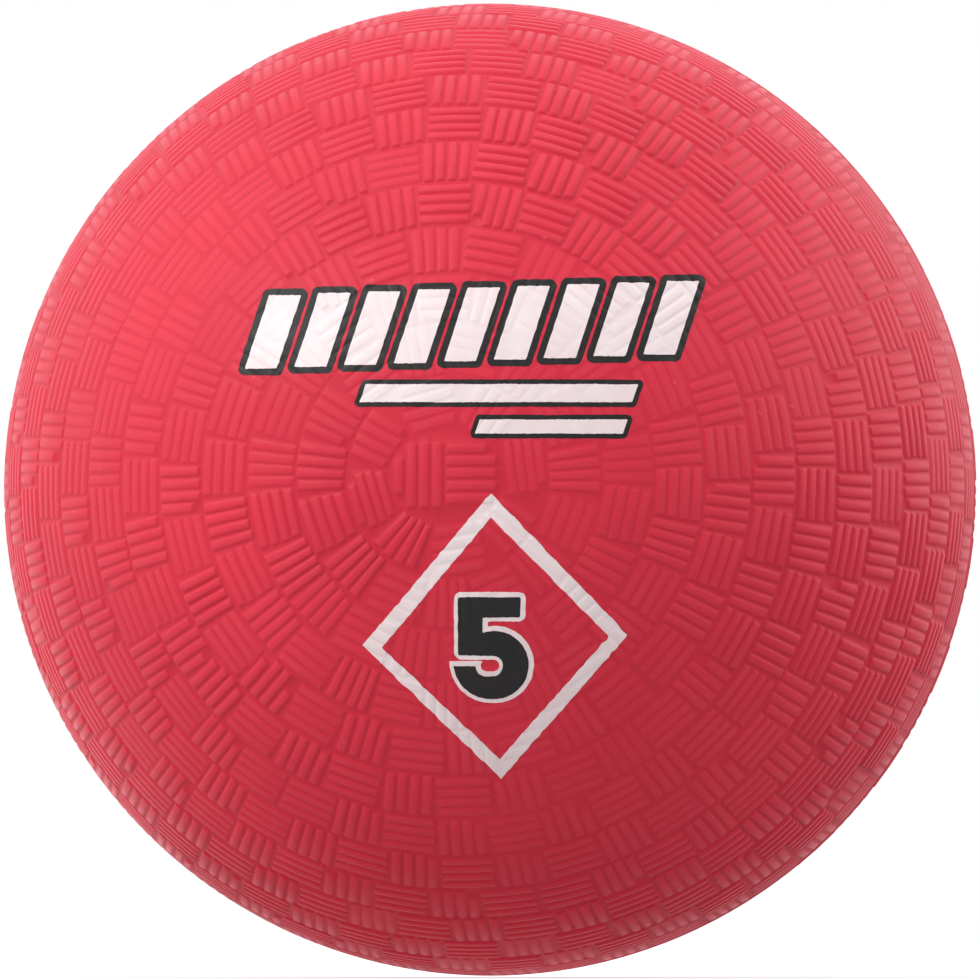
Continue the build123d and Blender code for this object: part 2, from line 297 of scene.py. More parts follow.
class Cover:
    """Half of the outer ply. side -1 is the printed half on -Y, +1 the valve half on +Y.

    theta is degrees from the half's pole. phi is degrees round it, from up towards
    right as seen from outside. A plane frame is (centre, across, along): the tangent
    point as a unit vector, the axis across a rib and the axis a rib runs along.
    """

    def __init__(self, side):
        self.verts, self.faces = [], []
        self.rib = []      # per vertex: 0 on the floor, 1 on a crest
        self.side = side
        self.rng = np.random.RandomState(71 if side < 0 else 72)
        self.pole = np.array([0.0, float(side), 0.0])
        self.up = np.array([0.0, 0.0, 1.0])
        self.right = np.array([-float(side), 0.0, 0.0])
        smooth_noise(self.rng, 10, 9.0)    # only moves the random stream on
        self.height_noise = smooth_noise(self.rng, 12, 5.0)
        self.rings = [ring_blocks(ring, 0.14 + 0.0 if side < 0 else 17.0 * k + 31.0)
                      for k, ring in enumerate(RINGS)]
        self.circles = [self.make_circle(k) for k in range(len(THETA))]
        for k in range(len(RINGS)):
            self.fill_ring(k)
        if side < 0:
            self.ribbed_cap()
            hole = None
        else:
            hole = self.valve_collar()
        self.inner_surface(self.land(), hole)
        self.verts = np.array(self.verts)
        self.faces = triangles(self.verts, self.faces)

    # ---- mesh
    def add(self, p, rib=0.0):
        self.verts.append((float(p[0]), float(p[1]), float(p[2])))
        self.rib.append(rib)
        return len(self.verts) - 1

    def facing(self, ids, out, corners):
        """ids, reversed if the triangle of these corners turns away from out."""
        a, b, c = (np.array(self.verts[ids[i]]) for i in corners)
        return ids[::-1] if np.cross(b - a, c - a) @ out < 0 else ids

    def band(self, low, high, first=0):
        """Quads between two closed loops of equal count. first is the corner each quad
        starts at, which settles its split when the diagonals are equal."""
        for q in range(len(low)):
            r = (q + 1) % len(low)
            quad = (low[q], low[r], high[r], high[q])
            self.faces.append(quad[first:] + quad[:first])

    def zip_loops(self, a, a_angles, b, b_angles):
        """Triangles between two closed loops, each sorted by its angles in [0, 360)."""
        count_a, count_b = len(a), len(b)
        base = a_angles[0]
        shift = int(np.argmin([abs(wrap(t - base)) for t in b_angles]))
        b = b[shift:] + b[:shift]
        b_angles = b_angles[shift:] + b_angles[:shift]
        at_a = [(t - base) % 360 for t in a_angles] + [360.0]
        at_b = [wrap(b_angles[0] - base)] + [(t - base) % 360 for t in b_angles[1:]]
        at_b.append(at_b[0] + 360.0)
        i = j = 0
        while i < count_a or j < count_b:
            if j >= count_b or (i < count_a and at_a[i + 1] <= at_b[j + 1]):
                self.faces.append((b[j % count_b], a[(i + 1) % count_a], a[i % count_a]))
                i += 1
            else:
                self.faces.append((b[j % count_b], b[(j + 1) % count_b], a[i % count_a]))
                j += 1

    # ---- places
    def around(self, phi):
        p = math.radians(phi)
        return math.cos(p) * self.up + math.sin(p) * self.right

    def direction(self, theta, phi):
        t = math.radians(theta)
        return math.cos(t) * self.pole + math.sin(t) * self.around(phi)

    def polar(self, d):
        theta = math.degrees(math.acos(clamp(float(d @ self.pole), -1, 1)))
        phi = math.degrees(math.atan2(float(d @ self.right), float(d @ self.up)))
        return theta, phi

    def circle_theta(self, k, phi):
        """Ring boundary k; the printed half's innermost one is not quite round."""
        if k == 0 and self.side < 0:
            return 5.95 - 0.75 * math.cos(2 * math.radians(phi))
        return THETA[k]

    # ---- ring boundaries
    def make_circle(self, k):
        """Angles and vertex ids on boundary k, with a vertex at every block corner."""
        corners = sorted(start % 360 for starts, _ in self.rings[max(k - 1, 0):k + 1]
                         for start in starts[:-1])
        scale = mm_per_degree(THETA[k])
        curve_step = math.sqrt(ARC_STEP_FACTOR * R_FLOOR * math.sin(math.radians(THETA[k])))
        step = min(ARC_STEP_MAX, curve_step)
        joints = [corners[0]]
        for corner in corners[1:]:
            if (corner - joints[-1]) * scale > JOINT_GAP:
                joints.append(corner)
        if (joints[0] + 360 - joints[-1]) * scale <= JOINT_GAP:
            joints.pop()
        angles = []
        for a, b in zip(joints, joints[1:] + [joints[0] + 360]):
            n = max(1, int(math.ceil((b - a) * scale / step)))
            angles += [a + (b - a) * j / n for j in range(n)]
        angles = sorted(x % 360 for x in angles)
        ids = [self.add(self.direction(self.circle_theta(k, a), a) * R_FLOOR) for a in angles]
        return np.array(angles), ids

    def nearest(self, k, phi):
        return int(np.argmin(np.abs(wrap(self.circles[k][0] - phi))))

    def arc(self, k, start, end):
        """Vertex ids on boundary k from one angle to the other."""
        ids = self.circles[k][1]
        i, last = self.nearest(k, start), self.nearest(k, end)
        out = [ids[i]]
        while i != last:
            i = (i + 1) % len(ids)
            out.append(ids[i])
        return out

    # ---- blocks
    def block_side(self, k, start):
        """Two vertices on the line between blocks, from boundary k to the next."""
        a0 = self.circles[k][0][self.nearest(k, start)]
        a1 = self.circles[k + 1][0][self.nearest(k + 1, start)]
        theta0, theta1 = self.circle_theta(k, a0), self.circle_theta(k + 1, a1)
        a1 = a0 + wrap(a1 - a0)
        return [self.add(self.direction(theta0 + (theta1 - theta0) * f, a0 + (a1 - a0) * f)
                         * R_FLOOR) for f in (0.34, 0.67)]

    def fill_ring(self, k):
        starts, kinds = self.rings[k]
        sides = [self.block_side(k, start) for start in starts[:-1]]
        for i, kind in enumerate(kinds):
            start, end = starts[i], starts[i + 1]
            outline = (self.arc(k, start, end) + sides[(i + 1) % len(kinds)]
                       + self.arc(k + 1, start, end)[::-1] + sides[i][::-1])
            self.fill_block(k, kind, start, end, outline)

    def fill_block(self, k, kind, start, end, outline):
        """The ribs of one block and the floor round them."""
        phi = (start + end) / 2
        theta = (self.circle_theta(k, phi) + self.circle_theta(k + 1, phi)) / 2
        t, p = math.radians(theta), math.radians(phi)
        centre = self.direction(theta, phi)
        round_ring = unit(-math.sin(p) * self.up + math.cos(p) * self.right)
        outward = unit(math.cos(t) * self.around(phi) - math.sin(t) * self.pole)
        twist = math.radians(self.rng.normal() * 0.9)
        u_axis = math.cos(twist) * round_ring + math.sin(twist) * outward
        v_axis = -math.sin(twist) * round_ring + math.cos(twist) * outward

        def inside(u, v, side_gap, end_gap):
            th, ph = self.polar(unit(centre * R_CREST + u_axis * u + v_axis * v))
            off = wrap(ph - phi)
            if min(off - (start - phi), (end - phi) - off) * mm_per_degree(th) < side_gap:
                return False
            return ((th - self.circle_theta(k, ph)) * MM_PER_DEG > end_gap
                    and (self.circle_theta(k + 1, ph) - th) * MM_PER_DEG > end_gap)

        height = self.block_height(k, kind, centre)
        if kind == "R":
            ribs = self.meridian_ribs((centre, u_axis, v_axis), inside, height)
        else:
            ribs = self.ring_ribs((centre, v_axis, u_axis), inside, height)
        self.fill_cell(outline, centre, ribs)

    def block_height(self, k, kind, centre):
        """Rib height of a block as a share of RELIEF; one block in ten is much lower."""
        broad = 0.82 + 0.18 * clamp(self.height_noise(centre), -1.6, 1.0)
        height = relief_at(centre, self.side, kind) * broad * self.rng.uniform(0.76, 1.0)
        height = min(1.0, height)
        if self.rng.uniform() < 0.10:
            height *= 0.6
        if k >= FADE_FROM:
            height *= FADE[kind][k - FADE_FROM]
        return height

    def jitter(self, limit):
        return clamp(self.rng.normal() * 0.02, -limit, limit)

    def meridian_ribs(self, plane, inside, height):
        """R block: the ribs fan out away from the pole."""
        middle = (RIB_COUNT - 1) / 2
        half = reach(lambda v: inside(0, v, 0, EDGE_GAP) and inside(0, -v, 0, EDGE_GAP), 4.4)
        far = reach(lambda u: inside(u, half * 0.8, SIDE_GAP, 0.0), 4.6)
        near = reach(lambda u: inside(u, -half * 0.8, SIDE_GAP, 0.0), 4.6)
        far_pitch = min(PITCH, (far - 0.69) / middle)
        near_pitch = min(PITCH, (near - 0.62) / middle)

        def pitch(t):
            f = min(1.0, max(0.0, (t / half + 0.8) / 1.6))
            return near_pitch + (far_pitch - near_pitch) * f

        def thin(t):
            return min(1.0, pitch(t) / PITCH)

        ribs = []
        for q in range(RIB_COUNT):
            shift = self.jitter(0.035)

            def line(t):
                return (q - middle) * pitch(t) + shift * thin(t)

            def fits(t):
                w = RIB_HALF * thin(t)
                return (inside(line(t) + w, t, EDGE_GAP, END_GAP)
                        and inside(line(t) - w, t, EDGE_GAP, END_GAP))

            ribs += self.block_rib(plane, line, longest_run(fits, 4.2), thin, height)
        return ribs

    def ring_ribs(self, plane, inside, height):
        """C block: parallel ribs that run round the ring."""
        middle = (RIB_COUNT - 1) / 2
        half = reach(lambda v: inside(0, v, 0, 0.18) and inside(0, -v, 0, 0.18), 4.4)
        pitch = min(PITCH, (half - 0.69) / middle)
        thin = min(1.0, pitch / PITCH)
        w = RIB_HALF * thin
        ribs = []
        for q in range(RIB_COUNT):
            v = (q - middle) * pitch + self.jitter(0.035)

            def fits(t):
                return (inside(t, v - w, SIDE_GAP, EDGE_GAP)
                        and inside(t, v + w, SIDE_GAP, EDGE_GAP))

            ribs += self.block_rib(plane, lambda t: v, longest_run(fits, 3.5), lambda t: thin,
                                   height)
        return ribs

    def block_rib(self, plane, line, ends, thin, height):
        """A list of one rib's footprint, or an empty list where there is no room."""
        low, top = ends
        top -= abs(self.rng.normal()) * 0.07
        low += abs(self.rng.normal()) * 0.07
        if top - low < RIB_MIN:
            return []
        rise = RELIEF * height * (1 + self.rng.normal() * 0.05)
        return [self.add_rib(plane, line, low, top, thin, rise, self.jitter(0.03))]

    def add_rib(self, plane, line, low, top, thin, rise, bend):
        """A rib along plane's third axis from low to top. line and thin give its centre
        line and its width's share at each place. Returns the footprint loop."""
        centre, across, along = plane
        length = top - low
        tip, shoulder = min(0.12, length * 0.1), min(0.32, length * 0.2)
        rows = (low, low + tip, low + shoulder, (low + top) / 2, top - shoulder, top - tip, top)
        wobble = np.clip(self.rng.normal(size=(7,)) * 0.015, -0.02, 0.02)
        grid = []
        for r, t in enumerate(rows):
            off = (wobble[clamp(r, 2, 4)] + bend * (1 if r == 3 else 0)) * thin(t)
            ids = []
            for column, profile in zip(RIB_COLS, RIB_PROF):
                u = line(t) + off + column * RIB_WIDE[r] * thin(t)
                z = RIB_TALL[r] * profile
                d = unit(centre * R_CREST + across * u + along * t)
                ids.append(self.add(d * (R_FLOOR + rise * z), z))
            grid.append(ids)
        for lower, upper in zip(grid, grid[1:]):
            for q in range(len(RIB_COLS) - 1):
                quad = (lower[q], lower[q + 1], upper[q + 1], upper[q])
                self.faces.append(self.facing(quad, centre, (0, 1, 3)))
        return (grid[0] + [ids[-1] for ids in grid[1:]] + grid[-1][-2::-1]
                + [ids[0] for ids in grid[-2:0:-1]])

    def fill_cell(self, outline, centre, ribs):
        """Floor of one cell round its ribs, by constrained Delaunay on the tangent plane."""
        x_axis = np.cross(self.pole, centre)
        size = np.linalg.norm(x_axis)
        x_axis = x_axis / size if size > 1e-6 else self.right
        y_axis = np.cross(x_axis, centre)
        points, source, loops = [], [], []
        for loop in [outline] + ribs:
            flat = []
            for i in loop:
                p = np.asarray(self.verts[i])
                s = R_CREST / (p @ centre)
                flat.append(((p @ x_axis) * s, (p @ y_axis) * s))
            area = sum(a[0] * b[1] - b[0] * a[1] for a, b in zip(flat, flat[1:] + flat[:1]))
            turn = 1 if area > 0 else -1
            loops.append(list(range(len(points), len(points) + len(loop))))
            points += [Vector(q) for q in flat[::turn]]
            source += loop[::turn]
        result = delaunay_2d_cdt(points, [], loops, 0, 1e-5, True)
        ids = []
        for v, origin in zip(result[0], result[3]):
            if origin:
                ids.append(source[origin[0]])
            else:
                p = centre * R_CREST + x_axis * v.x + y_axis * v.y
                ids.append(self.add(unit(p) * R_FLOOR))
        for corners, owners in zip(result[2], result[5]):
            # in the outline (loop 0) and in no rib
            if 0 in owners and len(owners) == 1:
                a, b, c = (ids[q] for q in corners)
                pa, pb, pc = (np.array(self.verts[q]) for q in (a, b, c))
                if np.cross(pb - pa, pc - pa) @ centre < 0:
                    a, b = b, a
                self.faces.append((a, b, c))

    # ---- pole
    def cap_reach(self, start, heading, limit):
        """How far a rib can run from start, (right, up) in mm, before the cap's edge."""
        start, heading = np.array(start), np.array(heading)
        sideways = np.array([heading[1], -heading[0]])

        def fits(t):
            for w in (-RIB_HALF, RIB_HALF):
                x, y = start + heading * t + sideways * w
                theta = math.degrees(math.atan2(np.hypot(x, y), R_CREST))
                phi = math.degrees(math.atan2(x, y))
                if (self.circle_theta(0, phi) - theta) * MM_PER_DEG < END_GAP:
                    return False
            return True

        return last_good(fits, 0.0, limit, 12)

    def ribbed_cap(self):
        rise = RELIEF * (relief_at(self.pole, self.side, "R") * CAP_HEIGHT)
        ribs = []

        def cap_rib(across, along, place, low, top):
            ribs.append(self.add_rib((self.pole, across, along), lambda t: place, low, top,
                                     lambda t: 1.0, rise, CAP_BEND))

        for x in CAP_COLUMNS:
            top = self.cap_reach((x, 0.0), (0.0, 1.0), CAP_UP)
            low = self.cap_reach((x, 0.0), (0.0, -1.0), CAP_DOWN)
            if top + low > CAP_COLUMN_MIN:
                cap_rib(self.right, self.up, x, -low, top)
        for y in CAP_ROWS:
            end = self.cap_reach((0.0, y), (1.0, 0.0), CAP_RIGHT)
            if end > RIB_MIN:
                cap_rib(self.up, self.right, y, 0.0, end)
        self.fill_cell(self.circles[0][1], self.pole, ribs)

    def valve_collar(self):
        """The raised collar and the wall of the hole; returns the hole's inner edge."""
        angles = even_angles(INNER_SEGMENTS)

        def turned(radius, sphere):
            y = math.sqrt(sphere * sphere - radius * radius)
            return [self.add(self.pole * y + radius * self.around(a)) for a in angles]

        rows = [turned(radius, R_FLOOR + height) for radius, height in COLLAR]
        circle_angles, ids = self.circles[0]
        self.zip_loops(ids, list(circle_angles), rows[0], angles)
        rows.append(turned(HOLE_R, R_IN))
        for outer, inner in zip(rows, rows[1:]):
            self.band(inner, outer)
        return rows[-1]

    # ---- rim and inside
    def land(self):
        """Plain land up to the parting plane, with half of the thin flash ridge."""
        angles = even_angles(LAND_SEGMENTS)
        rows = [[self.add(self.direction(theta, a) * (R_FLOOR + height)) for a in angles]
                for theta, height in LAND]
        circle_angles, ids = self.circles[-1]
        self.zip_loops(rows[0], angles, ids, list(circle_angles))
        for low, high in zip(rows, rows[1:]):
            self.band(low, high)
        return rows[-1]

    def inner_surface(self, rim, hole):
        """From the rim in to the hole, or to a point at the pole where there is none."""
        angles = even_angles(INNER_SEGMENTS)
        edge = 0.0 if hole is None else math.degrees(math.asin(HOLE_R / R_IN))
        rows = []
        for j in range(INNER_ROWS, 0, -1):
            theta = edge + (90.0 - edge) * j / INNER_ROWS
            rows.append([self.add(self.direction(theta, a) * R_IN) for a in angles])
        self.zip_loops(rows[0], angles, rim, even_angles(LAND_SEGMENTS))
        if hole is not None:
            rows.append(hole)
        for low, high in zip(rows, rows[1:]):
            self.band(low, high, first=1)
        if hole is None:
            tip = self.add(self.pole * R_IN)
            last = rows[-1]
            for q in range(len(last)):
                self.faces.append((last[(q + 1) % len(last)], tip, last[q]))


covers, cover_objects = {}, []
for cover_side, cover_name in ((-1, "cover_front"), (1, "cover_back")):
    half = Cover(cover_side)
    covers[cover_name] = half
    cover_objects.append(to_object("textured_" + cover_name, cover_name,
                                   half.verts, half.faces, rib=half.rib))


# ------------------------------------------------------------------ print shapes
# The print plane faces the camera through the centre: x right, y up, in mm. A field is
# a signed distance on it, negative where there is ink.
DIAMOND_OUT = ((0.11, -0.5), (17.54, -18.54), (1.43, -36.93), (-16.22, -19.84))
DIAMOND_IN = ((0.11, -3.56), (15.13, -18.71), (1.26, -34.44), (-13.77, -20.13))
NUMERAL_X, NUMERAL_Y = 0.17, -20.1
NUMERAL_KEY = 0.58                  # width of the line round the numeral
KEY_SHIFT_X, KEY_SHIFT_Y = 0.09, 0.07
KEY_LAP = 0.06                      # a keyline runs this far in over its shape
DASH_COUNT, DASH_WIDTH, DASH_PITCH, DASH_SLANT, DASH_HEIGHT = 9, 4.1, 6.35, 3.1, 9.4
DASH_X, DASH_Y, DASH_TILT = -2.3, 21.0, 0.035      # middle of the row, and its slope
DASH_KEY, BAR_KEY = 0.85, 0.6
# two bars below the dashes
BARS = (((-16.6, 11.1), (18.1, 11.1), (18.9, 13.4), (-15.8, 13.4)),
        ((-1.9, 7.1), (16.9, 7.1), (17.5, 8.9), (-1.3, 8.9)))
BOX_PAD = 0.5                       # room round a shape
# areas that hold each shape: x0, y0, x1, y1
DIAMOND_BOX = (-17, -38, 18.5, 0.6)
NUMERAL_BOX = (-5.6, -27.6, 6.0, -12.8)
NUMERAL_KEY_BOX = (-6.2, -28.2, 6.6, -12.2)

TRACE_STEP = 0.11                   # grid an ink outline is traced on
TRACE_MIN_POINTS = 8                # shorter outlines are dropped
TRACE_ERROR, TRACE_MAX_SKIP = 0.012, 12     # how far an outline is simplified
FILM_GAP = 0.004                    # underside of the ink above the cover
KEY_LIFT, FILL_LIFT, DIAMOND_LIFT = 0.03, 0.05, 0.045     # top of the ink


def box_field(x, y, centre_x, centre_y, half_x, half_y, corner=0.0):
    dx = np.abs(x - centre_x) - (half_x - corner)
    dy = np.abs(y - centre_y) - (half_y - corner)
    outside = np.hypot(np.maximum(dx, 0), np.maximum(dy, 0))
    return outside + np.minimum(np.maximum(dx, dy), 0) - corner


def circle_field(x, y, centre_x, centre_y, radius):
    return np.hypot(x - centre_x, y - centre_y) - radius


def polygon_field(x, y, points):
    distance = np.full(np.shape(x), 1e9)
    inside = np.zeros(np.shape(x), bool)
    for (ax, ay), (bx, by) in zip(points, points[1:] + points[:1]):
        ex, ey = bx - ax, by - ay
        t = np.clip(((x - ax) * ex + (y - ay) * ey) / (ex * ex + ey * ey), 0, 1)
        distance = np.minimum(distance, np.hypot(x - ax - t * ex, y - ay - t * ey))
        inside ^= ((ay > y) != (by > y)) & (x < (bx - ax) * (y - ay) / (by - ay + 1e-12) + ax)
    return np.where(inside, -distance, distance)


def ripple(seed, size, wave):
    """Small waves that make an ink edge uneven."""
    rng = np.random.RandomState(seed)
    k = rng.normal(size=(9, 2)) * 2 * math.pi / wave
    phase = rng.uniform(0, 2 * math.pi, 9)
    return lambda x, y: size / 3 * sum(np.sin(k[i, 0] * x + k[i, 1] * y + phase[i])
                                       for i in range(9))


coarse_ripple = ripple(seed=5, size=0.05, wave=2.4)
fine_ripple = ripple(seed=6, size=0.03, wave=1.9)


def numeral_shape(x, y):
    """A numeral 5: top bar, stem and bowl."""
    x, y = x - NUMERAL_X, y - NUMERAL_Y
    bar = box_field(x, y, -0.175, 5.1, 3.875, 1.3, 0.3)
    stem = box_field(x, y, -2.675, 2.675, 1.575, 3.725, 0.3)
    disc = circle_field(x, y, 0.4, -2.25, 4.35)
    right = np.maximum(disc, -box_field(x, y, -4.0, 0, 4.0, 10))
    top = np.maximum(disc, box_field(x, y, -0.6, 0.55, 0.7, 1.7))
    low = np.maximum(circle_field(x, y, -0.1, -1.85, 4.75),
                     box_field(x, y, -2.9, -5.4, 3.0, 3.0, 0.3))
    bowl = np.minimum(np.minimum(right, top), low)
    bowl = np.maximum(bowl, -box_field(x, y, -0.25, -2.4, 1.75, 1.35, 1.35))   # the counter
    bowl = np.maximum(bowl, -box_field(x, y, -3.0, -1.725, 3.1, 0.675))        # its opening
    return np.minimum(np.minimum(bar, stem), bowl)


def diamond_field(x, y):
    ring = np.maximum(polygon_field(x, y, DIAMOND_OUT), -polygon_field(x, y, DIAMOND_IN))
    return ring + coarse_ripple(x, y)


def numeral_field(x, y):
    return numeral_shape(x, y) + fine_ripple(x, y)


def numeral_key_field(x, y):
    outer = numeral_shape(x - KEY_SHIFT_X, y - KEY_SHIFT_Y) - NUMERAL_KEY
    return np.maximum(outer, -(numeral_shape(x, y) + KEY_LAP)) + fine_ripple(x, y)


def dash_points(i):
    x = DASH_X + (i - (DASH_COUNT - 1) / 2) * DASH_PITCH
    y = DASH_Y + DASH_TILT * (x - DASH_X)
    w, s, h = DASH_WIDTH / 2, DASH_SLANT / 2, DASH_HEIGHT / 2
    return ((x - w - s, y - h), (x + w - s, y - h), (x + w + s, y + h), (x - w + s, y + h))


def polygon_jobs(points, key):
    """Film jobs for a polygon's fill and for a line of width key round it."""
    def fill(x, y):
        return polygon_field(x, y, points) + fine_ripple(x, y)

    def keyline(x, y):
        distance = polygon_field(x, y, points)
        return np.maximum(distance - key, -(distance + KEY_LAP)) + fine_ripple(x, y)

    xs, ys = zip(*points)
    box = (min(xs) - key - BOX_PAD, min(ys) - key - BOX_PAD,
           max(xs) + key + BOX_PAD, max(ys) + key + BOX_PAD)
    return (fill, box), (keyline, box)


# ------------------------------------------------------------------ ink outlines
def crossings(field, box):
    """Points where the field changes sign on a grid, and each one's neighbours."""
    x0, y0, x1, y1 = box
    xs = np.arange(x0, x1 + TRACE_STEP, TRACE_STEP)
    ys = np.arange(y0, y1 + TRACE_STEP, TRACE_STEP)
    grid = field(*np.meshgrid(xs, ys, indexing="ij"))
    grid = np.where(np.abs(grid) < 1e-9, 1e-9, grid)
    points, known, links = [], {}, {}

    def crossing(start, end):
        if (start, end) not in known:
            t = grid[start] / (grid[start] - grid[end])
            known[start, end] = len(points)
            points.append((xs[start[0]] + (xs[end[0]] - xs[start[0]]) * t,
                           ys[start[1]] + (ys[end[1]] - ys[start[1]]) * t))
        return known[start, end]

    ink = grid < 0
    corner = ink[:-1, :-1]
    mixed = (corner != ink[1:, :-1]) | (corner != ink[:-1, 1:]) | (corner != ink[1:, 1:])
    for i, j in np.argwhere(mixed):
        sides = (((i, j), (i + 1, j)), ((i + 1, j), (i + 1, j + 1)),
                 ((i, j + 1), (i + 1, j + 1)), ((i, j), (i, j + 1)))
        cell = [crossing(start, end) for start, end in sides if ink[start] != ink[end]]
        for q in range(0, len(cell) - 1, 2):
            links.setdefault(cell[q], []).append(cell[q + 1])
            links.setdefault(cell[q + 1], []).append(cell[q])
    return points, links


def simplify(loop):
    """Drops points that lie close to the line between those kept."""
    out = [loop[0]]
    i = 0
    while i < len(loop) - 1:
        j = i + 1
        a = np.array(loop[i])
        while j + 1 < len(loop) and j - i < TRACE_MAX_SKIP:
            e = np.array(loop[j + 1]) - a
            length = np.linalg.norm(e)
            if length < 1e-9:
                break
            error = max(abs(e[0] * (p[1] - a[1]) - e[1] * (p[0] - a[0])) / length
                        for p in loop[i + 1:j + 1])
            if error > TRACE_ERROR:
                break
            j += 1
        out.append(loop[j])
        i = j
    return out


def trace(field, box):
    """Closed outlines of the ink, as lists of points."""
    points, links = crossings(field, box)
    seen, outlines = set(), []
    for start in links:
        if start in seen:
            continue
        loop, current = [], start
        while current is not None:
            seen.add(current)
            loop.append(points[current])
            ahead = [q for q in links[current] if q not in seen]
            current = ahead[0] if ahead else None
        if len(loop) >= TRACE_MIN_POINTS:
            outlines.append(simplify(loop))
    return outlines


# ------------------------------------------------------------------ ink films
class Ground:
    """The printed half as the ink sees it, moved radially onto the print plane."""

    def __init__(self, cover):
        self.verts, self.tris = cover.verts, np.array(cover.faces)
        radii = np.linalg.norm(self.verts, axis=1)
        on_sphere = self.verts / radii[:, None] * R_CREST
        self.x, self.y = on_sphere @ VIEW_RIGHT, on_sphere @ VIEW_UP
        self.outside = (self.verts @ VIEW_BACK > 20) & (radii > R_IN + 0.3)
        self.tree = BVHTree.FromPolygons([Vector(v) for v in self.verts],
                                         [tuple(int(q) for q in t) for t in self.tris])

    def edges_near(self, field, box):
        """Cover edges under or beside the ink: vertex ids, and pairs of places in them."""
        x0, y0, x1, y1 = box
        x, y = self.x[self.tris], self.y[self.tris]
        near = (self.outside[self.tris].all(axis=1)
                & (x.max(axis=1) > x0) & (x.min(axis=1) < x1)
                & (y.max(axis=1) > y0) & (y.min(axis=1) < y1))
        tris = self.tris[near]
        x, y = self.x[tris], self.y[tris]
        size = np.hypot(x.max(axis=1) - x.min(axis=1), y.max(axis=1) - y.min(axis=1))
        tris = tris[field(x, y).min(axis=1) < size + 0.1]
        edges = np.concatenate([tris[:, [0, 1]], tris[:, [1, 2]], tris[:, [2, 0]]])
        edges = np.unique(np.sort(edges, axis=1), axis=0)
        used = np.unique(edges)
        return used, [tuple(e) for e in np.searchsorted(used, edges).tolist()]

    def drop(self, x, y):
        """The cover's surface under a point of the print plane, and the way out there."""
        depth = math.sqrt(R_CREST ** 2 - x ** 2 - y ** 2)
        out = unit(VIEW_RIGHT * x + VIEW_UP * y + VIEW_BACK * depth)
        hit = self.tree.ray_cast(Vector(out * (R_IN + 0.3)), Vector(out))[0]
        # a ray can slip between two faces
        return (np.array(hit) if hit is not None else out * R_FLOOR), out


def film_patch(ground, field, box, lift):
    """Top points, underside points and triangles of the ink in one box."""
    own, edges = ground.edges_near(field, box)
    points = [Vector((ground.x[v], ground.y[v])) for v in own]
    for outline in trace(field, box):
        first, n = len(points), len(outline)
        points += [Vector(p) for p in outline]
        edges += [(first + q, first + (q + 1) % n) for q in range(n)]
    result = delaunay_2d_cdt(points, edges, [], 0, 1e-5, True)
    flat = np.array([(v.x, v.y) for v in result[0]])
    tris = np.array(result[2])
    corners = flat[tris]
    centres = corners.mean(axis=1)
    ab, ac = corners[:, 1] - corners[:, 0], corners[:, 2] - corners[:, 0]
    area = np.abs(ab[:, 0] * ac[:, 1] - ac[:, 0] * ab[:, 1])
    tris = tris[(field(centres[:, 0], centres[:, 1]) < 0) & (area > 1e-7)]
    used = np.unique(tris)
    top, bottom = [], []
    for v in used:
        shared = [q for q in result[3][v] if q < len(own)]
        if shared:
            p = ground.verts[own[shared[0]]]
            out = unit(p)
        else:
            p, out = ground.drop(flat[v, 0], flat[v, 1])
        top.append(p + out * lift)
        bottom.append(p + out * FILM_GAP)
    return top, bottom, np.searchsorted(used, tris).tolist()


def film(name, node, jobs, lift):
    """A closed film of ink on the ribs. jobs are (field, box)."""
    verts, faces, sharp = [], [], set()
    for field, box in jobs:
        top, bottom, tris = film_patch(GROUND, field, box, lift)
        upper, lower = len(verts), len(verts) + len(top)
        verts += top + bottom
        edges = {}         # directed, in the order met
        for a, b, c in tris:
            if np.cross(top[b] - top[a], top[c] - top[a]) @ VIEW_BACK < 0:
                b, c = c, b
            faces.append((upper + a, upper + b, upper + c))
            faces.append((lower + a, lower + c, lower + b))
            edges.update({(a, b): True, (b, c): True, (c, a): True})
        for q, r in edges:
            if (r, q) not in edges:
                faces.append((upper + r, upper + q, lower + q, lower + r))
                sharp.add((upper + q, upper + r))
                sharp.add((lower + q, lower + r))
    return to_object(name, node, verts, faces, sharp=sharp)


GROUND = Ground(covers["cover_front"])
ink_diamond = film("ink_diamond", "print_diamond",
                   [(diamond_field, DIAMOND_BOX)], DIAMOND_LIFT)
ink_numeral = film("ink_numeral", "print_numeral",
                   [(numeral_field, NUMERAL_BOX)], FILL_LIFT)
ink_key = film("ink_numeral_keyline", "print_numeral_keyline",
               [(numeral_key_field, NUMERAL_KEY_BOX)], KEY_LIFT)
row_jobs = [polygon_jobs(dash_points(i), DASH_KEY) for i in range(DASH_COUNT)]
row_jobs += [polygon_jobs(bar, BAR_KEY) for bar in BARS]
dash_jobs, dash_key_jobs = zip(*row_jobs)
ink_dashes = film("ink_dashes", "print_dashes", dash_jobs, FILL_LIFT)
ink_dash_key = film("ink_dashes_keyline", "print_dashes_keyline",
                    dash_key_jobs, KEY_LIFT)


